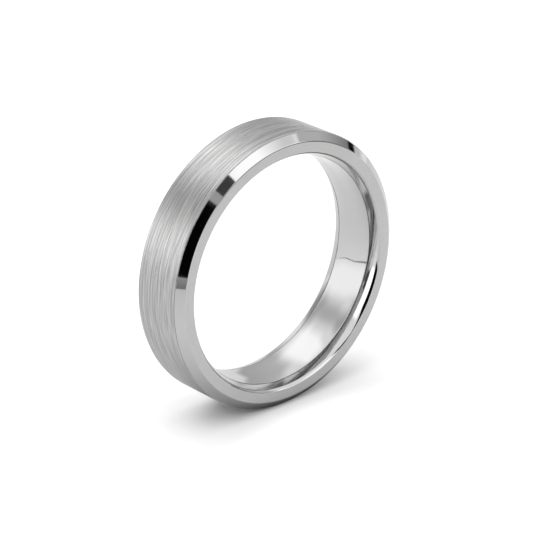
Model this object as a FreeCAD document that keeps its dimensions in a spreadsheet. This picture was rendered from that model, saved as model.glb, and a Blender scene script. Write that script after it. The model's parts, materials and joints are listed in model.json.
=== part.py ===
import FreeCAD, Part
import math
import os
import Sketcher

# A wedding band in four pieces that are pressed together: a polished comfort-fit liner, a brushed centre
# band around it, and a bevelled edge ring on each side. Each edge ring has a spigot that fills the space
# between the liner and the centre band, and a lip that holds the liner's end.
# The bore's axis is Y, the front faces -Y, +Z is up and the origin is the centre of the bore.
# Sizes are in millimetres.

SIZES = [
    ("outer_diameter", 21.55, "across the brushed centre band"),
    ("bore_diameter", 17.58, "across the finger hole"),
    ("band_width", 5.0, "from side face to side face"),
    ("brushed_width", 3.93, "length of the brushed centre band"),
    ("bevel_drop", 0.655, "how far the bevel falls in radius, from the brushed band to the side face"),
    ("side_face_width", 0.80, "flat ring between the bevel and the lip, measured along the radius"),
    ("liner_length", 3.28, "end to end"),
    ("liner_wall", 0.75, "from the bore to the liner's outside"),
    ("land_length", 1.0, "straight part of the bore, between its two rounded ends"),
    ("end_rise", 0.09, "how far the liner's rounded ends open out in radius"),
    ("throat_run", 0.60, "length of the gentle first part of an edge ring's lip"),
    ("throat_rise", 0.23, "how far that part opens out in radius"),
    ("throat_arc", 9.2, "its radius of curvature"),
    ("mouth_arc", 0.61, "radius of curvature of the lip's last part, up to the side face"),
    ("spigot_wall", 0.45, "thickness of an edge ring's spigot"),
    ("spigot_length", 1.0, "how far a spigot reaches into the centre band"),
    ("shoulder_round", 0.03, "rounding of the edges that meet outside, between brushed band and bevel"),
    ("seam_round", 0.06, "rounding of the edges that meet inside, between liner and lip"),
    ("rim_round", 0.16, "rounding between a bevel and its side face"),
    ("mouth_round", 0.05, "rounding between a side face and the lip inside it"),
]

# Radii, as expressions of the sizes.
OUTER = "Sizes.outer_diameter / 2"
BORE = "Sizes.bore_diameter / 2"
SIDE_OUTER = f"{OUTER} - Sizes.bevel_drop"
SIDE_INNER = f"{SIDE_OUTER} - Sizes.side_face_width"
LIP = f"{BORE} + Sizes.end_rise"
BEND = f"{LIP} + Sizes.throat_rise"
LINER_OUTER = f"{BORE} + Sizes.liner_wall"
SPIGOT_OUTER = f"{LINER_OUTER} + Sizes.spigot_wall"

# Distances from the middle of the band, along its axis.
SIDE = "Sizes.band_width / 2"
SHOULDER = "Sizes.brushed_width / 2"
SPIGOT_END = f"{SHOULDER} - Sizes.spigot_length"
LINER_END = "Sizes.liner_length / 2"
LAND_END = "Sizes.land_length / 2"
BEND_PLACE = f"{LINER_END} + Sizes.throat_run"

FRONT = -1
REAR = 1
ROOT_POINT = (-1, 1)
TOLERANCE = 1e-4


def tangent_radius(rise, run):
    """Expression for the radius of an arc that leaves the axial direction and rises over a run."""
    return f"(({rise}) ^ 2 + ({run}) ^ 2) / (2 * ({rise}))"


LINER_ARC = tangent_radius("Sizes.end_rise", f"{LINER_END} - {LAND_END}")
THROAT_ARC = "Sizes.throat_arc"
MOUTH_ARC = "Sizes.mouth_arc"


def make_sheet(doc):
    """The spreadsheet that holds the driving dimensions."""
    sheet = doc.addObject("Spreadsheet::Sheet", "Sizes")
    for row, (alias, value, meaning) in enumerate(SIZES, start=1):
        sheet.set(f"A{row}", meaning)
        sheet.set(f"B{row}", str(value))
        sheet.setAlias(f"B{row}", alias)
    doc.recompute()


def origin_plane(body, role):
    """The body's own origin plane with this role."""
    for feature in body.Origin.OriginFeatures:
        if feature.Role == role:
            return feature
    raise RuntimeError(f"{body.Label} has no {role}")


def inward_arc(start, end, radius):
    """An arc from start to end that bulges towards the bore's axis."""
    chord = end - start
    half = chord.Length / 2
    sagitta = radius - math.sqrt(radius ** 2 - half ** 2)
    normal = FreeCAD.Vector(-chord.y, chord.x, 0).normalize()
    if normal.x > 0:
        normal = normal.negative()
    crown = (start + end) / 2 + normal * sagitta
    return Part.Arc(start, crown, end)


def end_at(sketch, index, place):
    """Which end of a line or arc lies at a place: 1 or 2."""
    if sketch.getPoint(index, 1).distanceToPoint(place) < TOLERANCE:
        return 1
    return 2


def bind(sketch, constraint, expression):
    """Add a constraint whose size follows an expression."""
    index = sketch.addConstraint(constraint)
    sketch.setExpression(f"Constraints[{index}]", expression)


def draw_outline(sketch, corners):
    """Draw a closed outline and tie it to the sheet.

    Each corner is (radius, place along the axis) or (radius, place, arc radius), all expressions. The
    third one makes the side that starts at that corner an inward arc instead of a line.
    """
    points = [
        FreeCAD.Vector(sketch.evalExpression(corner[0]), sketch.evalExpression(corner[1]), 0)
        for corner in corners
    ]
    count = len(corners)
    for index, corner in enumerate(corners):
        start = points[index]
        end = points[(index + 1) % count]
        if len(corner) == 3:
            sketch.addGeometry(inward_arc(start, end, sketch.evalExpression(corner[2])))
        else:
            sketch.addGeometry(Part.LineSegment(start, end))
    for index, corner in enumerate(corners):
        following = (index + 1) % count
        here = (index, end_at(sketch, index, points[index]))
        last = (index, end_at(sketch, index, points[following]))
        first = (following, end_at(sketch, following, points[following]))
        sketch.addConstraint(Sketcher.Constraint("Coincident", *last, *first))
        bind(sketch, Sketcher.Constraint("DistanceX", *ROOT_POINT, *here, points[index].x), corner[0])
        bind(sketch, Sketcher.Constraint("DistanceY", *ROOT_POINT, *here, points[index].y), corner[1])
        if len(corner) == 3:
            bind(sketch, Sketcher.Constraint("Radius", index, sketch.Geometry[index].Radius), corner[2])


def turned_body(doc, name, corners):
    """A body turned about the Y axis from an outline."""
    body = doc.addObject("PartDesign::Body", name)
    body.Label = name
    sketch = body.newObject("Sketcher::SketchObject", f"{name}_outline")
    sketch.AttachmentSupport = (origin_plane(body, "XY_Plane"), [""])
    sketch.MapMode = "FlatFace"
    draw_outline(sketch, corners)
    turning = body.newObject("PartDesign::Revolution", f"{name}_turning")
    turning.Profile = sketch
    turning.ReferenceAxis = (sketch, ["V_Axis"])
    turning.Angle = 360
    doc.recompute()
    return body


def round_edges(doc, body, name, size, circles):
    """Round the circular edges of a body that lie at each (radius, place along the axis)."""
    base = body.Tip
    wanted = [(base.evalExpression(radius), base.evalExpression(place)) for radius, place in circles]
    edges = []
    for number, edge in enumerate(base.Shape.Edges, start=1):
        if not isinstance(edge.Curve, Part.Circle):
            continue
        for radius, place in wanted:
            near = abs(edge.Curve.Radius - radius) < TOLERANCE
            level = abs(edge.Curve.Center.y - place) < TOLERANCE
            if near and level:
                edges.append(f"Edge{number}")
    if len(edges) != len(wanted):
        raise RuntimeError(f"{name}: found {len(edges)} of {len(wanted)} edges")
    rounding = body.newObject("PartDesign::Fillet", name)
    rounding.Base = (base, edges)
    rounding.setExpression("Radius", size)
    doc.recompute()


def signed(side, place):
    """The place at this distance from the middle, on the front or the rear side."""
    return f"{side} * ({place})"


def make_comfort_liner(doc):
    """The polished inner sleeve: a straight land with a rounded opening at each end."""
    corners = [
        (LINER_OUTER, signed(FRONT, LINER_END)),
        (LINER_OUTER, signed(REAR, LINER_END)),
        (LIP, signed(REAR, LINER_END), LINER_ARC),
        (BORE, signed(REAR, LAND_END)),
        (BORE, signed(FRONT, LAND_END), LINER_ARC),
        (LIP, signed(FRONT, LINER_END)),
    ]
    body = turned_body(doc, "comfort_liner", corners)
    ends = [(LIP, signed(side, LINER_END)) for side in (FRONT, REAR)]
    round_edges(doc, body, "comfort_liner_seams", "Sizes.seam_round", ends)
    return body


def make_centre_band(doc):
    """The brushed outer sleeve, counterbored at both ends for the spigots of the edge rings."""
    corners = [
        (OUTER, signed(FRONT, SHOULDER)),
        (OUTER, signed(REAR, SHOULDER)),
        (SPIGOT_OUTER, signed(REAR, SHOULDER)),
        (SPIGOT_OUTER, signed(REAR, SPIGOT_END)),
        (LINER_OUTER, signed(REAR, SPIGOT_END)),
        (LINER_OUTER, signed(FRONT, SPIGOT_END)),
        (SPIGOT_OUTER, signed(FRONT, SPIGOT_END)),
        (SPIGOT_OUTER, signed(FRONT, SHOULDER)),
    ]
    body = turned_body(doc, "brushed_centre_band", corners)
    shoulders = [(OUTER, signed(side, SHOULDER)) for side in (FRONT, REAR)]
    round_edges(doc, body, "brushed_centre_band_shoulders", "Sizes.shoulder_round", shoulders)
    return body


def make_edge_ring(doc, name, side):
    """A bevelled edge ring with its flat side face, its lip and its spigot."""
    corners = [
        (OUTER, signed(side, SHOULDER)),
        (SIDE_OUTER, signed(side, SIDE)),
        (SIDE_INNER, signed(side, SIDE), MOUTH_ARC),
        (BEND, signed(side, BEND_PLACE), THROAT_ARC),
        (LIP, signed(side, LINER_END)),
        (LINER_OUTER, signed(side, LINER_END)),
        (LINER_OUTER, signed(side, SPIGOT_END)),
        (SPIGOT_OUTER, signed(side, SPIGOT_END)),
        (SPIGOT_OUTER, signed(side, SHOULDER)),
    ]
    body = turned_body(doc, name, corners)
    round_edges(doc, body, f"{name}_seam", "Sizes.seam_round", [(LIP, signed(side, LINER_END))])
    round_edges(doc, body, f"{name}_shoulder", "Sizes.shoulder_round", [(OUTER, signed(side, SHOULDER))])
    round_edges(doc, body, f"{name}_rim", "Sizes.rim_round", [(SIDE_OUTER, signed(side, SIDE))])
    round_edges(doc, body, f"{name}_mouth", "Sizes.mouth_round", [(SIDE_INNER, signed(side, SIDE))])
    return body


def check(doc, bodies):
    """Stop if any feature failed or any sub-part isn't one valid solid."""
    for feature in doc.Objects:
        if "Invalid" in feature.State or "Error" in feature.State:
            raise RuntimeError(f"{feature.Label} failed: {feature.State}")
    for body in bodies:
        shape = body.Shape
        if shape.isNull() or not shape.isValid() or len(shape.Solids) != 1:
            raise RuntimeError(f"{body.Label} isn't one valid solid")


def export(bodies):
    """Write each sub-part to its own STEP file."""
    os.makedirs("parts", exist_ok=True)
    for body in bodies:
        body.Shape.exportStep(f"parts/{body.Label}.step")
        print(f"{body.Label}: {body.Shape.Volume:.2f} cubic mm")


def main():
    doc = FreeCAD.newDocument("wedding_band")
    make_sheet(doc)
    bodies = [
        make_comfort_liner(doc),
        make_centre_band(doc),
        make_edge_ring(doc, "front_edge_ring", FRONT),
        make_edge_ring(doc, "rear_edge_ring", REAR),
    ]
    doc.recompute()
    check(doc, bodies)
    export(bodies)


main()
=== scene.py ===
"""Looks for the wedding band: lathed meshes, brushed, satin and mirror metal, and a soft studio.

The bore's axis is Y and the front of the band faces -Y. Lengths are in metres.
"""

import json
import math
from collections import namedtuple

import bpy
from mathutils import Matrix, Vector


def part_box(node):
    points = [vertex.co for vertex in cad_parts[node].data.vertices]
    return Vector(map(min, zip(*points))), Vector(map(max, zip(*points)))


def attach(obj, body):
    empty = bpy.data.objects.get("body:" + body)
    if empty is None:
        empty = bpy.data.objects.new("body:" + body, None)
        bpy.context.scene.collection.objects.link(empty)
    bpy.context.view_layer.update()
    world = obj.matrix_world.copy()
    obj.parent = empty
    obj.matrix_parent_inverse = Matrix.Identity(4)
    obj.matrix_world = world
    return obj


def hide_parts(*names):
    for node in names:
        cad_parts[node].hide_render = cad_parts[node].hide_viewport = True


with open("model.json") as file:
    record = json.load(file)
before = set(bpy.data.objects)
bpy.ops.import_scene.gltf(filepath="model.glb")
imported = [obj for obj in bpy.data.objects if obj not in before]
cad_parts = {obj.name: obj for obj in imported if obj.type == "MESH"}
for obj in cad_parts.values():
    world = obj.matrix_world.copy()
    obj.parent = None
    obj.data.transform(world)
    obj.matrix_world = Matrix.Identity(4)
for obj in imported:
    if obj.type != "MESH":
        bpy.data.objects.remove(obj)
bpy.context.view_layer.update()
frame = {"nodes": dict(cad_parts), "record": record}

MM = 0.001
TURN = 2 * math.pi

# Sizes that the band's outlines need beside those read from the frame.
BEVEL_DROP = 0.655 * MM
SIDE_FACE_WIDTH = 0.80 * MM
END_RISE = 0.09 * MM
THROAT_RUN = 0.60 * MM
THROAT_RISE = 0.23 * MM
THROAT_ARC = 9.2 * MM
MOUTH_ARC = 0.61 * MM
SHOULDER_ROUND = 0.03 * MM
SEAM_ROUND = 0.06 * MM
RIM_ROUND = 0.16 * MM
MOUTH_ROUND = 0.05 * MM
TOLERANCE = 0.001 * MM

# How finely the meshes follow the circles and arcs.
SEGMENTS = 360
ROUND_STEPS = 6
CURVE_STEPS = 12
FLOOR_STEPS = 96

BRUSHED = "brushed"
POLISHED = "polished"
SATIN = "satin"

# The camera's place is given from the centre of the bore.
CAMERA_AZIMUTH = math.radians(-41.87)
CAMERA_ELEVATION = math.radians(23.57)
CAMERA_DISTANCE = 191.0 * MM
CAMERA_LENS = 173.55
CAMERA_SENSOR = 36.0
CAMERA_SHIFT = (-0.00205, -0.00522)
CAMERA_NEAR_LIMIT = 1 * MM
CAMERA_FAR_LIMIT = 10

# The floor's middle lies this far behind the band.
FLOOR_OFFSET = 133 * MM
FLOOR_RADIUS = 200 * MM
# Painted shade: the floor's colour is lighter to the camera and a darker painted copy in reflections.
FLOOR_TO_CAMERA = (0.93, 0.93, 0.93, 1)
FLOOR_PAINTED_DARKER_IN_REFLECTIONS = (0.74, 0.74, 0.74, 1)
# Reach of the painted contact shadow that ambient occlusion darkens into the floor's colour near the
# band.
PAINTED_SHADOW_REACH = 15 * MM

LAMP_PLACE = (-90 * MM, 80 * MM, 250 * MM)
LAMP_WIDTH = 450 * MM
LAMP_WATTS = 0.33


# ---------------------------------------------------------------- sizes from the frame


def widest_radius(node, place):
    """Largest radius of a CAD node's points at a place along the axis."""
    points = [vertex.co for vertex in frame["nodes"][node].data.vertices]
    return max(math.hypot(p.x, p.z) for p in points if abs(p.y - place) < TOLERANCE)


def read_sizes():
    """The radii of the band, and its distances along the axis from the middle."""
    band_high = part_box("brushed_centre_band")[1]
    liner_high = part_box("comfort_liner")[1]
    ring_low, ring_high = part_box("front_edge_ring")
    mounts = {mount["name"]: mount for mount in frame["record"]["mounts"]}
    bore = mounts["finger_bore"]["dims"]
    outer = band_high.z
    bore_radius = bore["r_mm"] * MM
    return {
        "outer": outer,
        "bore": bore_radius,
        "lip": bore_radius + END_RISE,
        "side_outer": outer - BEVEL_DROP,
        "side_inner": outer - BEVEL_DROP - SIDE_FACE_WIDTH,
        "liner_outer": liner_high.x,
        "spigot_outer": widest_radius("brushed_centre_band", ring_high.y),
        "side": -ring_low.y,
        "shoulder": band_high.y,
        "liner_end": liner_high.y,
        "land_end": bore["length_mm"] * MM / 2,
        "spigot_end": -ring_high.y,
    }


size = read_sizes()


# ---------------------------------------------------------------- outlines
# An outline lies in the plane of radius and place along the axis, and runs anticlockwise there, so that
# the outward normal is on its right. A side is {"points", "normals", "finish"}.


def right_of(way):
    """The unit vector to the right of another one."""
    unit = way.normalized()
    return Vector((unit.y, -unit.x))


def straight(start, end, finish=POLISHED):
    """A flat side."""
    normal = right_of(end - start)
    return {"points": [start, end], "normals": [normal, normal], "finish": finish}


def tangent_radius(rise, run):
    """The radius of an arc that leaves the axial direction and rises over a run."""
    return (rise ** 2 + run ** 2) / (2 * rise)


def bowed(start, end, radius):
    """A polished side that bulges to the right of its chord."""
    chord = end - start
    depth = math.sqrt(radius ** 2 - (chord.length / 2) ** 2)
    centre = (start + end) / 2 - right_of(chord) * depth
    first = (start - centre).normalized()
    last = (end - centre).normalized()
    normals = [first.slerp(last, step / CURVE_STEPS) for step in range(CURVE_STEPS + 1)]
    points = [centre + normal * radius for normal in normals]
    return {"points": points, "normals": normals, "finish": POLISHED}


def rounding(before, after, radius):
    """A small polished round between two sides, which are cut back to make room for it."""
    into = (before["points"][-1] - before["points"][-2]).normalized()
    out_of = (after["points"][1] - after["points"][0]).normalized()
    turn = into.angle(out_of)
    cut = radius * math.tan(turn / 2)
    before["points"][-1] = before["points"][-1] - into * cut
    after["points"][0] = after["points"][0] + out_of * cut
    first = right_of(into)
    centre = before["points"][-1] - first * radius
    start = math.atan2(first.y, first.x)
    angles = [start + turn * step / ROUND_STEPS for step in range(ROUND_STEPS + 1)]
    normals = [Vector((math.cos(angle), math.sin(angle))) for angle in angles]
    points = [centre + normal * radius for normal in normals]
    return {"points": points, "normals": normals, "finish": POLISHED}


def rounded(outline, rounds):
    """The outline with a round after each side whose number is in rounds."""
    result = []
    for number, side in enumerate(outline):
        result.append(side)
        if number in rounds:
            following = outline[(number + 1) % len(outline)]
            result.append(rounding(side, following, rounds[number]))
    return result


def mirrored(outline):
    """The outline with front and rear exchanged, still anticlockwise."""
    flip = Vector((1, -1))
    return [
        {
            "points": [point * flip for point in reversed(side["points"])],
            "normals": [normal * flip for normal in reversed(side["normals"])],
            "finish": side["finish"],
        }
        for side in reversed(outline)
    ]


def at(radius, place):
    """A point of an outline, from the names of its radius and of its distance towards the rear."""
    return Vector((size[radius], size[place]))


def front(point):
    """The same point on the front half."""
    return Vector((point.x, -point.y))


# ---------------------------------------------------------------- the four pieces' outlines


def liner_outline():
    """Polished sleeve: a straight land, and a domed end towards each lip."""
    mouth = at("lip", "liner_end")
    throat = at("bore", "land_end")
    back = at("liner_outer", "liner_end")
    arc = tangent_radius(mouth.x - throat.x, mouth.y - throat.y)
    sides = [
        straight(front(back), back),
        straight(back, mouth),
        bowed(mouth, throat, arc),
        straight(throat, front(throat)),
        bowed(front(throat), front(mouth), arc),
        straight(front(mouth), front(back)),
    ]
    return rounded(sides, {1: SEAM_ROUND, 4: SEAM_ROUND})


def centre_band_outline():
    """Brushed sleeve with a counterbore at each end."""
    shoulder = at("outer", "shoulder")
    mouth = at("spigot_outer", "shoulder")
    seat = at("spigot_outer", "spigot_end")
    step = at("liner_outer", "spigot_end")
    corners = [front(shoulder), shoulder, mouth, seat, step, front(step), front(seat), front(mouth)]
    following = corners[1:] + corners[:1]
    sides = [straight(start, end, BRUSHED) for start, end in zip(corners, following)]
    return rounded(sides, {0: SHOULDER_ROUND, 7: SHOULDER_ROUND})


def front_ring_outline():
    """Edge ring: bevel, flat side face, flared lip, and the spigot behind them."""
    shoulder = front(at("outer", "shoulder"))
    root = front(at("spigot_outer", "shoulder"))
    tip = front(at("spigot_outer", "spigot_end"))
    tip_inside = front(at("liner_outer", "spigot_end"))
    seat = front(at("liner_outer", "liner_end"))
    throat = front(at("lip", "liner_end"))
    bend = throat + Vector((THROAT_RISE, -THROAT_RUN))
    mouth = front(at("side_inner", "side"))
    rim = front(at("side_outer", "side"))
    sides = [
        straight(shoulder, root),
        straight(root, tip),
        straight(tip, tip_inside),
        straight(tip_inside, seat),
        straight(seat, throat),
        bowed(throat, bend, THROAT_ARC),
        bowed(bend, mouth, MOUTH_ARC),
        straight(mouth, rim, SATIN),
        straight(rim, shoulder),
    ]
    return rounded(sides, {4: SEAM_ROUND, 6: MOUTH_ROUND, 7: RIM_ROUND, 8: SHOULDER_ROUND})


# ---------------------------------------------------------------- lathing


def outline_loop(outline):
    """The outline's points in order, and the normals and finish of the stretch after each one."""
    points = []
    stretches = []
    for side in outline:
        for index, point in enumerate(side["points"][:-1]):
            points.append(point)
            stretches.append((side["normals"][index], side["normals"][index + 1], side["finish"]))
    return points, stretches


def spun(flat, angle):
    """A point or normal of the outline, turned about the axis."""
    return (flat.x * math.cos(angle), flat.y, flat.x * math.sin(angle))


def grid_faces(rows, columns):
    """The faces of a grid of vertices that closes on itself both ways."""
    faces = []
    for row in range(rows):
        here = row * columns
        beside = (row + 1) % rows * columns
        for column in range(columns):
            following = (column + 1) % columns
            faces.append((here + column, here + following, beside + following, beside + column))
    return faces


def corner_normals(stretches, angles):
    """The exact normals at the corners of the lathed faces, in the order of grid_faces."""
    normals = []
    for turn, angle in enumerate(angles):
        beside = angles[(turn + 1) % len(angles)]
        for first, last, finish in stretches:
            normals += [spun(first, angle), spun(last, angle), spun(last, beside), spun(first, beside)]
    return normals


def lathe(name, outline, metals):
    """A closed mesh turned about the Y axis, in the metals that its outline's finishes name."""
    points, stretches = outline_loop(outline)
    angles = [TURN * turn / SEGMENTS for turn in range(SEGMENTS)]
    vertices = [spun(point, angle) for angle in angles for point in points]
    finishes = [finish for first, last, finish in stretches] * SEGMENTS
    used = [finish for finish in metals if finish in finishes]
    mesh = bpy.data.meshes.new(name)
    mesh.from_pydata(vertices, [], grid_faces(SEGMENTS, len(points)))
    for finish in used:
        mesh.materials.append(metals[finish])
    for polygon, finish in zip(mesh.polygons, finishes):
        polygon.material_index = used.index(finish)
        polygon.use_smooth = True
    mesh.normals_split_custom_set(corner_normals(stretches, angles))
    return placed(name, mesh)


def placed(name, data):
    """A new object in the scene that holds this mesh, lamp or camera."""
    thing = bpy.data.objects.new(name, data)
    bpy.context.scene.collection.objects.link(thing)
    return thing


# ---------------------------------------------------------------- nodes


def connect(tree, node, inputs):
    """Set each named or numbered input of a node to a value, or link it to another node's output."""
    for name, value in inputs.items():
        if isinstance(value, bpy.types.NodeSocket):
            tree.links.new(value, node.inputs[name])
        else:
            node.inputs[name].default_value = value


def add(tree, kind, inputs=None, **settings):
    """A node of this kind with these properties and inputs."""
    node = tree.nodes.new(kind)
    for name, value in settings.items():
        setattr(node, name, value)
    connect(tree, node, inputs or {})
    return node


def maths(tree, operation, *values):
    """The result of a Math node, from numbers or other nodes' outputs."""
    return add(tree, "ShaderNodeMath", dict(enumerate(values)), operation=operation).outputs[0]


def ranged(tree, value, start, end, low, high, **settings):
    """A value mapped from one range, start to end, to another, low to high."""
    inputs = {"Value": value, "From Min": start, "From Max": end, "To Min": low, "To Max": high}
    return add(tree, "ShaderNodeMapRange", inputs, **settings).outputs["Result"]


# ---------------------------------------------------------------- metals
# Noise is lowest and highest at about these values.
NOISE_LOW = 0.25
NOISE_HIGH = 0.75
NOISE_ROUGHNESS = 0.6

# Noise scales along X, Y and Z, per metre. Streaks run around the band, so they change slowly across
# X and Z and quickly along Y.
FINE_STREAKS = (380, 14000, 380)
BROAD_STREAKS = (320, 24000, 320)
CLOUDS = (260, 260, 260)
HAIRLINES = (900, 5200, 900)
TURNING_LINES = (6500, 300, 6500)

# Depths of the finishes.
FINE_STREAK_DEPTH = 0.008 * MM
BROAD_STREAK_DEPTH = 0.012 * MM
HAIRLINE_DEPTH = 0.0001 * MM
TURNING_DEPTH = 0.0004 * MM


def grain(tree, scales, detail):
    """Noise with its own scale along each axis."""
    place = add(tree, "ShaderNodeTexCoord")
    scaled = add(tree, "ShaderNodeMapping", {"Vector": place.outputs["Object"], "Scale": scales})
    noise = {
        "Vector": scaled.outputs["Vector"],
        "Scale": 1.0,
        "Detail": detail,
        "Roughness": NOISE_ROUGHNESS,
    }
    return add(tree, "ShaderNodeTexNoise", noise).outputs["Fac"]


def spread(tree, noise, low, high):
    """The noise, mapped to a range."""
    return ranged(tree, noise, NOISE_LOW, NOISE_HIGH, low, high)


def grey(tree, noise, dark, light):
    """A nearly neutral colour that follows the noise."""
    ramp = add(tree, "ShaderNodeValToRGB", {"Fac": noise})
    ends = ramp.color_ramp.elements
    ends[0].position = NOISE_LOW
    ends[0].color = (*dark, 1)
    ends[1].position = NOISE_HIGH
    ends[1].color = (*light, 1)
    return ramp.outputs["Color"]


def relief(tree, noise, depth):
    """A bump of this depth, which follows the noise."""
    return add(tree, "ShaderNodeBump", {"Strength": 1.0, "Distance": depth, "Height": noise})


def new_material(name):
    """An empty node material, its tree and its surface socket."""
    material = bpy.data.materials.new(name)
    material.use_nodes = True
    tree = material.node_tree
    tree.nodes.clear()
    return material, tree, add(tree, "ShaderNodeOutputMaterial").inputs["Surface"]


def new_metal(name):
    """A metal, its tree, and its shader, which still lacks a colour, a roughness and a normal."""
    material, tree, surface = new_material(name)
    shader = add(tree, "ShaderNodeBsdfPrincipled", {"Metallic": 1.0})
    tree.links.new(shader.outputs["BSDF"], surface)
    return material, tree, shader


def brushed_metal():
    """Steel brushed around the band: fine streaks over broad ones."""
    material, tree, shader = new_metal("brushed_metal")
    broad = relief(tree, grain(tree, BROAD_STREAKS, detail=2), BROAD_STREAK_DEPTH)
    fine = relief(tree, grain(tree, FINE_STREAKS, detail=4), FINE_STREAK_DEPTH)
    tangent = add(tree, "ShaderNodeTangent", direction_type="RADIAL", axis="Y")
    tone = grain(tree, BROAD_STREAKS, detail=3)
    gloss = grain(tree, FINE_STREAKS, detail=3)
    connect(tree, fine, {"Normal": broad.outputs["Normal"]})
    connect(tree, shader, {
        "Base Color": grey(tree, tone, dark=(0.14, 0.14, 0.14), light=(0.70, 0.70, 0.697)),
        "Roughness": spread(tree, gloss, low=0.15, high=0.28),
        "Normal": fine.outputs["Normal"],
        "Anisotropic": 0.8,
        "Anisotropic Rotation": 0.25,
        "Tangent": tangent.outputs["Tangent"],
    })
    return material


def polished_metal():
    """Mirror polish with faint hairlines."""
    material, tree, shader = new_metal("polished_metal")
    tone = grain(tree, CLOUDS, detail=2)
    lines = grain(tree, HAIRLINES, detail=3)
    connect(tree, shader, {
        "Base Color": grey(tree, tone, dark=(0.51, 0.51, 0.51), light=(0.54, 0.54, 0.538)),
        "Roughness": spread(tree, lines, low=0.03, high=0.07),
        "Normal": relief(tree, lines, HAIRLINE_DEPTH).outputs["Normal"],
    })
    return material


def satin_metal():
    """The fine turned finish of the side faces."""
    material, tree, shader = new_metal("satin_metal")
    tone = grain(tree, CLOUDS, detail=2)
    lines = grain(tree, TURNING_LINES, detail=3)
    connect(tree, shader, {
        "Base Color": grey(tree, tone, dark=(0.53, 0.53, 0.53), light=(0.56, 0.56, 0.558)),
        "Roughness": spread(tree, lines, low=0.26, high=0.36),
        "Normal": relief(tree, lines, TURNING_DEPTH).outputs["Normal"],
    })
    return material


# ---------------------------------------------------------------- the pieces


def make_pieces():
    """The four pieces of the band, each in place of its CAD node."""
    metals = {BRUSHED: brushed_metal(), POLISHED: polished_metal(), SATIN: satin_metal()}
    ring = front_ring_outline()
    pieces = [
        ("comfort_liner", liner_outline(), "polished_liner"),
        ("brushed_centre_band", centre_band_outline(), "brushed_centre"),
        ("front_edge_ring", ring, "polished_edge"),
        ("rear_edge_ring", mirrored(ring), "polished_edge"),
    ]
    for node, outline, slot in pieces:
        piece = lathe(f"{node}_lathed", outline, metals)
        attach(piece, "root")
        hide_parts(node)


# ---------------------------------------------------------------- camera, floor and lamp


def direction(azimuth, elevation):
    """The unit vector towards a place in the studio. Azimuth 0 is towards -Y and 90 towards +X."""
    level = math.cos(elevation)
    return Vector((math.sin(azimuth) * level, -math.cos(azimuth) * level, math.sin(elevation)))


def make_camera():
    """A long lens at the photograph's angle."""
    data = bpy.data.cameras.new("camera")
    data.lens = CAMERA_LENS
    data.sensor_width = CAMERA_SENSOR
    data.shift_x, data.shift_y = CAMERA_SHIFT
    data.clip_start = CAMERA_NEAR_LIMIT
    data.clip_end = CAMERA_FAR_LIMIT
    camera = placed("camera", data)
    back = direction(CAMERA_AZIMUTH, CAMERA_ELEVATION)
    camera.location = back * CAMERA_DISTANCE
    camera.rotation_euler = back.to_track_quat("Z", "Y").to_euler()
    bpy.context.scene.camera = camera


def floor_material():
    """White with a faint gloss.

    Reflections see it greyer than the camera does, as a darker painted copy of the floor, and darker
    still close to the band, where ambient occlusion paints a contact shadow into its colour.
    """
    material, tree, surface = new_material("floor_white")
    rays = add(tree, "ShaderNodeLightPath")
    # Painted shadow: ambient occlusion darkens the floor's reflected colour close to the band.
    painted_contact_shadow_inputs = {"Color": FLOOR_PAINTED_DARKER_IN_REFLECTIONS, "Distance": PAINTED_SHADOW_REACH}
    painted_contact_shadow = add(tree, "ShaderNodeAmbientOcclusion", painted_contact_shadow_inputs, samples=8)
    # Painted shade: camera rays get the lighter floor colour, every other ray the darker painted copy.
    colour_inputs = {
        "Factor": rays.outputs["Is Camera Ray"],
        "A": painted_contact_shadow.outputs["Color"],
        "B": FLOOR_TO_CAMERA,
    }
    colour = add(tree, "ShaderNodeMix", colour_inputs, data_type="RGBA")
    shader = add(tree, "ShaderNodeBsdfPrincipled", {
        "Base Color": colour.outputs["Result"],
        "Roughness": 0.35,
        "Specular IOR Level": 0.15,
    })
    tree.links.new(shader.outputs["BSDF"], surface)
    return material


def make_floor():
    """A plain white disc under the band. Most of it lies behind the band, where the camera looks."""
    middle = direction(CAMERA_AZIMUTH, 0) * -FLOOR_OFFSET
    middle.z = -size["outer"]
    rim = [
        middle + Vector((math.cos(angle), math.sin(angle), 0)) * FLOOR_RADIUS
        for angle in (TURN * step / FLOOR_STEPS for step in range(FLOOR_STEPS))
    ]
    mesh = bpy.data.meshes.new("floor")
    mesh.from_pydata(rim, [], [tuple(range(FLOOR_STEPS))])
    mesh.materials.append(floor_material())
    floor = placed("floor", mesh)


def make_top_light():
    """A wide soft lamp overhead that lights the floor and shows in no reflection."""
    data = bpy.data.lights.new("top_light", "AREA")
    data.shape = "DISK"
    data.size = LAMP_WIDTH
    data.energy = LAMP_WATTS
    lamp = placed("top_light", data)
    lamp.location = LAMP_PLACE
    lamp.visible_glossy = False
    lamp.visible_camera = False


# ---------------------------------------------------------------- the studio
# Each panel has the azimuth and elevation of its middle, half its width, half its height and the
# softness of its edges, all in degrees, and its brightness at its bottom and at its top. Later ones
# cover earlier ones.
Panel = namedtuple("Panel", "name azimuth elevation half_width half_height softness bottom top")

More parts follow.
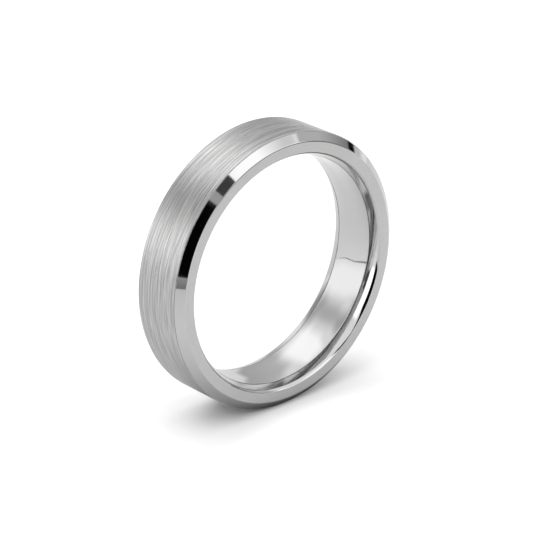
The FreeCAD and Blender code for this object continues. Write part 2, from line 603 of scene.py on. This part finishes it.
PANELS = [
    Panel("side_wall", 52, 34, 6, 12, 4.0, 1.08, 1.08),
    Panel("front_low_light", 36, 26, 26, 8, 2.0, 2.1, 2.1),
    Panel("front_low_dark", 36, 5, 26, 14, 4.0, 0.05, 0.05),
    Panel("right_wall", 72.5, 18, 15.5, 15, 1.0, 0.19, 0.98),
    Panel("right_wall_top", 72.5, 29, 15.5, 5, 1.0, 0.76, 0.73),
    Panel("right_gap_side", 91.5, 2, 1.8, 7, 1.2, 0.85, 0.85),
    Panel("right_gap", 88.2, 4, 1.6, 6, 0.5, 0.0, 0.0),
    Panel("front_softbox", 15, 41, 20, 16, 12.0, 1.85, 1.85),
    Panel("front_dark", -6.5, 36, 6.0, 14, 0.6, 0.075, 0.075),
    Panel("front_grey", -15.1, 32, 2.6, 12, 0.4, 0.55, 0.55),
    Panel("behind_camera", -41, 12.9, 23.7, 18.9, 0.4, 0.002, 0.002),
    Panel("below_camera", -41, -9.0, 23.7, 3.0, 0.3, 0.26, 0.46),
    Panel("rear_wall", 135, 20, 22, 20, 7.0, 0.52, 0.85),
    Panel("rear_softbox", 174, 50, 20, 13, 8.0, 1.75, 1.75),
    Panel("left_softbox", -130, 12, 30, 12, 6.0, 1.55, 1.6),
    Panel("left_dark_side", -104, 44, 14, 15, 6.0, 0.35, 0.35),
    Panel("rear_dark", -178, 12, 9, 9, 5.0, 0.45, 0.45),
    Panel("left_light", -77, 22, 12, 22, 3.0, 2.3, 2.3),
    Panel("left_dark", -146, 37, 10, 8, 8.0, 0.76, 0.76),
    Panel("left_dark_low", -160, 28, 14, 8, 8.0, 0.65, 0.65),
    Panel("left_dark_high", -128, 47, 16, 9, 8.0, 0.65, 0.65),
    Panel("horizon", -140, -3.2, 45, 0.8, 0.3, 0.3, 0.3),
]
ROOM_BRIGHTNESS = 1.25
BRIGHTNESS_TO_CAMERA = 1.0


def studio_angles(tree):
    """The azimuth and elevation that a ray leaves in, in radians."""
    place = add(tree, "ShaderNodeTexCoord")
    axes = add(tree, "ShaderNodeSeparateXYZ", {"Vector": place.outputs["Generated"]})
    forward = maths(tree, "MULTIPLY", axes.outputs["Y"], -1)
    azimuth = maths(tree, "ARCTAN2", axes.outputs["X"], forward)
    elevation = maths(tree, "ARCSINE", axes.outputs["Z"])
    return azimuth, elevation


def within(tree, angle, middle, half, softness):
    """1 inside a span of angles given in degrees, and 0 outside it."""
    offset = maths(tree, "SUBTRACT", angle, math.radians(middle))
    wrapped = maths(tree, "WRAP", offset, math.pi, -math.pi)
    distance = maths(tree, "ABSOLUTE", wrapped)
    start = math.radians(half - softness)
    end = math.radians(half + softness)
    return ranged(tree, distance, start, end, 1.0, 0.0, interpolation_type="SMOOTHSTEP")


def panel_over(tree, panel, azimuth, elevation, beneath):
    """The brightness beneath a panel, with the panel laid over it."""
    across = within(tree, azimuth, panel.azimuth, panel.half_width, panel.softness)
    upward = within(tree, elevation, panel.elevation, panel.half_height, panel.softness)
    low_edge = math.radians(panel.elevation - panel.half_height)
    high_edge = math.radians(panel.elevation + panel.half_height)
    inputs = {
        "Factor": maths(tree, "MULTIPLY", across, upward),
        "A": beneath,
        "B": ranged(tree, elevation, low_edge, high_edge, panel.bottom, panel.top),
    }
    return add(tree, "ShaderNodeMix", inputs, data_type="FLOAT", label=panel.name).outputs["Result"]


def make_studio():
    """A bright room with brighter and darker panels, which the camera sees as plain white."""
    world = bpy.data.worlds.new("studio")
    bpy.context.scene.world = world
    world.use_nodes = True
    tree = world.node_tree
    tree.nodes.clear()
    azimuth, elevation = studio_angles(tree)
    brightness = ROOM_BRIGHTNESS
    for panel in PANELS:
        brightness = panel_over(tree, panel, azimuth, elevation, brightness)
    rays = add(tree, "ShaderNodeLightPath")
    seen = {"Factor": rays.outputs["Is Camera Ray"], "A": brightness, "B": BRIGHTNESS_TO_CAMERA}
    strength = add(tree, "ShaderNodeMix", seen, data_type="FLOAT").outputs["Result"]
    background = add(tree, "ShaderNodeBackground", {"Color": (1, 1, 1, 1), "Strength": strength})
    add(tree, "ShaderNodeOutputWorld", {"Surface": background.outputs["Background"]})


make_pieces()
make_camera()
make_floor()
make_top_light()
make_studio()
bpy.context.scene.view_settings.view_transform = "Standard"
